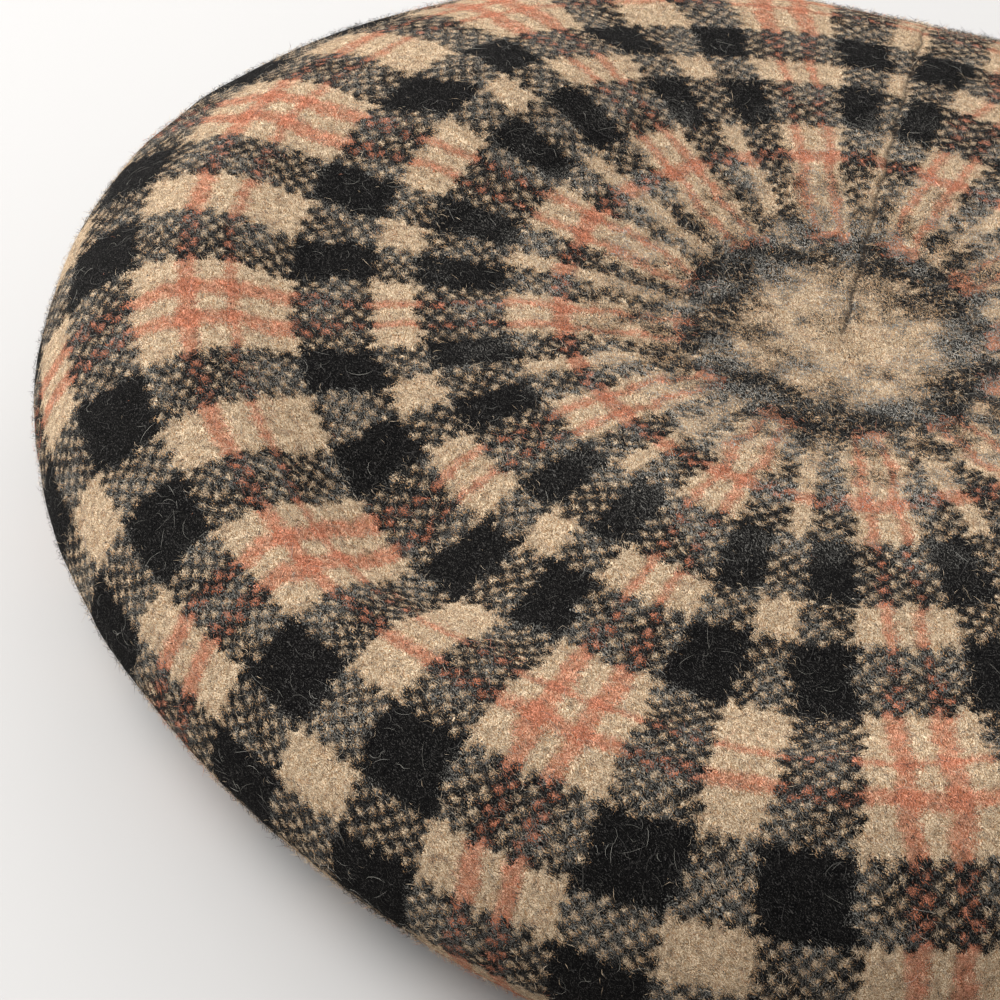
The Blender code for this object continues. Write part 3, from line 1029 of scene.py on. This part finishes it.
LONG_HAIRS = 10000
HAIR_SEED = 31
HAIR_WIDTH = 0.00004
HAIR_SHORTEST, HAIR_LONGEST = 0.002, 0.0055
HAIR_STEPS = 4
HAIR_PATCH = (0.02, 0.1)
HAIR_BEND = 1.9  # radians that a usual one turns from end to end
HAIR_LIFT, HAIR_RISE = 0.00008, 0.0006  # off the cloth at the ends, and at most more in the middle
HAIR_REACH = 0.165  # the run beyond which there are none
SILVER_RISE = (0.30, 1.0)  # of the tone, from smoky to silver


def build_hairs():
    """Hairs along the cloth: run and turn step on by the cosine and sine of a heading that turns.

    Each lifts off the cloth by a half sine wave. Its sides are triangular rings.
    """
    count = LONG_HAIRS
    draw = np.random.default_rng(HAIR_SEED)
    run = HAIR_REACH * np.sqrt(draw.random(count))
    azimuth = draw.random(count) * 2 * math.pi
    step = between(HAIR_SHORTEST, HAIR_LONGEST, draw.random(count) ** 2) / HAIR_STEPS
    flip = math.pi * (draw.random(count) < 0.5)
    heading = BRUSHED - azimuth + flip + draw.normal(size=count)
    bend = draw.normal(size=count) * HAIR_BEND / HAIR_STEPS
    rise = HAIR_RISE * draw.random(count) ** 2
    line = []
    for i in range(HAIR_STEPS + 1):
        place = outer_places(run, azimuth)
        radius = np.maximum(radius_at(run), 2 * NEAR)
        _, normal = cloth_ways(place, run, azimuth, radius)
        lift = HAIR_LIFT + rise * math.sin(math.pi * i / HAIR_STEPS)
        line.append(place + normal * lift[:, None])
        run = np.clip(run + np.cos(heading) * step, NEAR, OUTER_RUN)
        azimuth = azimuth + np.sin(heading) * step / radius
        heading = heading + bend
    ways = ring_ways(line[-1] - line[0], draw)
    rings = [place + HAIR_WIDTH / 2 * way for place in line[1:-1] for way in ways]
    tone = draw.random(count)
    cells = np.stack([between(0.1, 0.9, tone), 0.5 + 0 * tone], 1)
    verts = np.stack([line[0], *rings, line[-1]], 1)
    hairs = fibre_mesh("long_hairs", verts, {"tone": tone}, cells, HAIR_PATCH)
    hairs.data.shade_flat()
    return hairs


def guard_hair():
    """Coarse pale hairs of the fleece: silver, some smoky, a little smoother than the wool."""
    material, shader, add = new_finish("silver_guard_hair", Roughness=0.55, Specular_IOR_Level=0.17)
    tone = add("Attribute tone").node.outputs["Fac"]
    silver = add("MapRange SMOOTHSTEP", tone, *SILVER_RISE)
    colour = add("Mix RGBA", silver, linear("3B3836"), linear("939087"))
    material.node_tree.links.new(colour, shader.inputs["Base Color"])
    return material


hairs = build_hairs()
hairs.data.materials.append(guard_hair())
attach(hairs, "root")
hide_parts("felted_cap")


# ----------------------------------------
# Where the cap lies: a plain pale floor in soft light from the left and from behind, and the
# camera at the photograph's angle.

FLOOR_CORNERS = ((-3, -3, 0), (3, -3, 0), (3, 3, 0), (-3, 3, 0))
floor_mesh = bpy.data.meshes.new("floor")
floor_mesh.from_pydata(FLOOR_CORNERS, [], [(0, 1, 2, 3)])
floor = put("floor", floor_mesh)
board, *_ = new_finish("matt_white_board", Base_Color=linear("A5A3A1"), Roughness=0.9)
floor_mesh.materials.append(board)

SKY_STRENGTH = 0.70
world = bpy.data.worlds.new("studio")
bpy.context.scene.world = world
world.use_nodes = True
sky = world.node_tree.nodes["Background"].inputs
sky["Color"].default_value = linear("F7F8FA")
sky["Strength"].default_value = SKY_STRENGTH
bpy.context.scene.view_settings.view_transform = "Standard"

SOFTBOX_SIZE = 1.2
SOFTBOX_AIM = (0.0, 0.0, 0.03)
Lamp = namedtuple("Lamp", "name place power")
LAMPS = (
    Lamp("softbox_left", (-0.90, -0.14, 1.07), 28.7),
    Lamp("softbox_low_rear_left", (-1.05, 0.61, 0.70), 19.1),
    Lamp("softbox_low_rear", (0.00, 1.21, 0.70), 12.4),
)
for lamp in LAMPS:
    light = bpy.data.lights.new(lamp.name, "AREA")
    light.size = SOFTBOX_SIZE
    light.energy = lamp.power
    holder = put(lamp.name, light)
    holder.location = lamp.place
    way = Vector(SOFTBOX_AIM) - Vector(lamp.place)
    holder.rotation_euler = way.to_track_quat("-Z", "Y").to_euler()

CAMERA_AIM = np.array([0.002, 0.0032, 0.048])
CAMERA_DISTANCE = 0.6584
CAMERA_AZIMUTH, CAMERA_ELEVATION = math.radians(-2.5), math.radians(36.9)
CAMERA_ROLL, CAMERA_YAW, CAMERA_PITCH = (math.radians(turn) for turn in (8.65, -5.16, -2.51))
CAMERA_FOCAL = 3.818  # in image widths
CAMERA_NEAREST = 0.01
SENSOR = 36.0


def turn_axes(first, second, angle):
    """Two axes turned in their own plane, the first one towards the second."""
    c, s = math.cos(angle), math.sin(angle)
    return c * first + s * second, c * second - s * first


def camera_axes():
    """The way from the aim to the camera, and its right, up and rear axes.

    It is aimed at the cap, then rolled, panned and tilted.
    """
    az, el = CAMERA_AZIMUTH, CAMERA_ELEVATION
    back = np.array([math.sin(az) * math.cos(el), -math.cos(az) * math.cos(el), math.sin(el)])
    right = unit(np.cross(-back, [0.0, 0.0, 1.0]))
    up = np.cross(right, -back)
    right, up = turn_axes(right, up, CAMERA_ROLL)
    forward, right = turn_axes(-back, right, CAMERA_YAW)
    forward, up = turn_axes(forward, up, CAMERA_PITCH)
    return back, right, up, -forward


toward, right, up, rear = camera_axes()
lens = bpy.data.cameras.new("camera")
lens.sensor_width = SENSOR
lens.lens = SENSOR * CAMERA_FOCAL
lens.clip_start = CAMERA_NEAREST
camera = put("camera", lens)
turned = Matrix(np.stack([right, up, rear], 1).tolist()).to_4x4()
camera.matrix_world = Matrix.Translation(CAMERA_AIM + toward * CAMERA_DISTANCE) @ turned
bpy.context.scene.camera = camera
